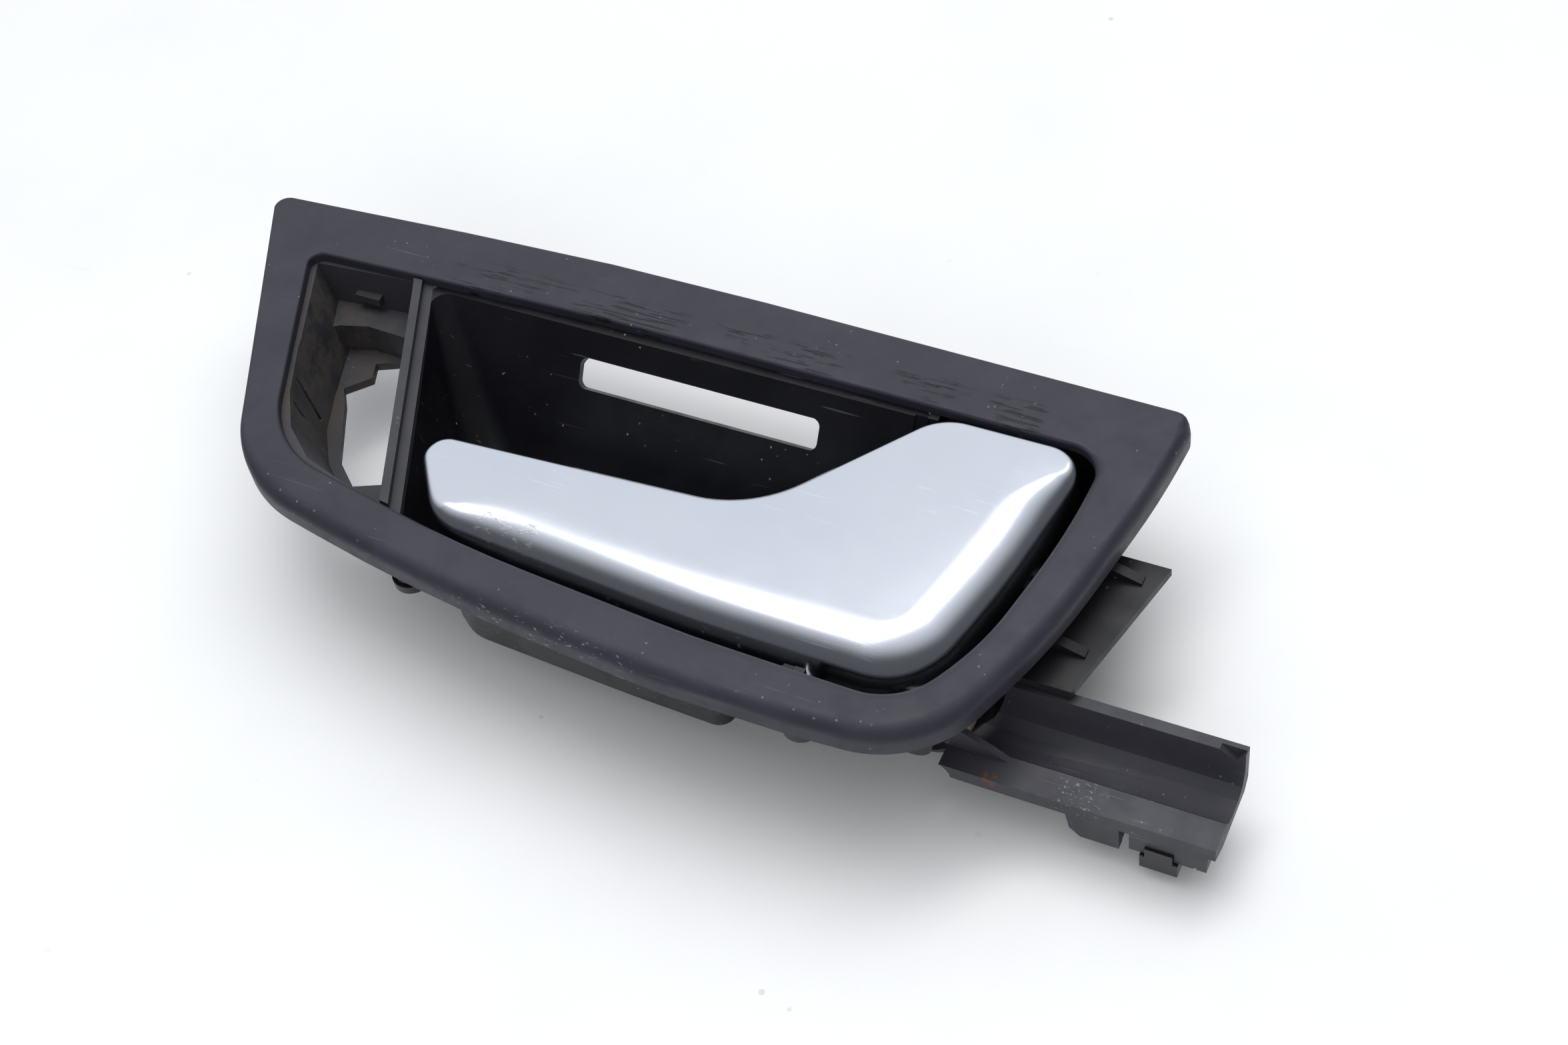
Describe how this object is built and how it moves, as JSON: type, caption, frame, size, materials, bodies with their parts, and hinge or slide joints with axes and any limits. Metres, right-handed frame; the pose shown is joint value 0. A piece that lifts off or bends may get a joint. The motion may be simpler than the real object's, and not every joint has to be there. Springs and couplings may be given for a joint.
{
  "type": "interior door handle",
  "caption": "Car interior door handle: trapezoid trim bezel, dark finger recess, sprung satin lever on a cross pin, switch collar and a side arm for the latch cable.",
  "frame": {"origin": "middle of the object's footprint, on the plane that the backs of the recess and of the hinge well rest on", "axes": "+X along the handle towards the cable arm, +Y towards the straight top edge, +Z out of the face that the hand reaches"},
  "size_m": [0.2498, 0.0964, 0.038],
  "materials": {
    "soft_trim": "soft-touch satin, scuffed",
    "gloss_black": "near-black semi-gloss",
    "collar_grey": "fine matt grain",
    "bracket_black": "matt moulded",
    "arm_grey": "matt moulded, whitened at rubs",
    "latch_black": "gloss",
    "satin_plating": "satin plated",
    "core_black": "matt moulded",
    "natural_nylon": "moulded",
    "bright_steel": "ground",
    "spring_steel": "phosphated",
    "bush_nylon": "moulded",
    "rubber": "matt",
    "screw_steel": "zinc plated"
  },
  "bodies": {
    "frame": {"bezel": "soft_trim", "recess_bowl": "gloss_black", "switch_collar": "collar_grey", "bearing_bracket": "bracket_black", "cable_arm": "arm_grey", "cable_retainer": "latch_black", "hinge_pin": "bright_steel", "pin_clip": "spring_steel", "spring_sleeve": "bush_nylon", "return_spring": "spring_steel", "rest_buffer": "rubber", "open_buffer": "rubber", "bezel_screws": "screw_steel", "bracket_screws": "screw_steel", "arm_screws": "screw_steel"},
    "lever": {"lever_cover": "satin_plating", "lever_core": "core_black", "cable_crank": "natural_nylon", "upper_bush": "bush_nylon", "lower_bush": "bush_nylon", "lever_screws": "screw_steel"}
  },
  "joints": [
    {"name": "lever_hinge", "type": "hinge", "parent": "frame", "child": "lever", "pos_m": [0.06591, 0, 0.0265], "axis": [0, 1, 0], "range_deg": [0, 35], "stiffness_Nm_per_rad": 0.35, "springref_deg": -40.11, "deforming": ["return_spring"]}
  ]
}
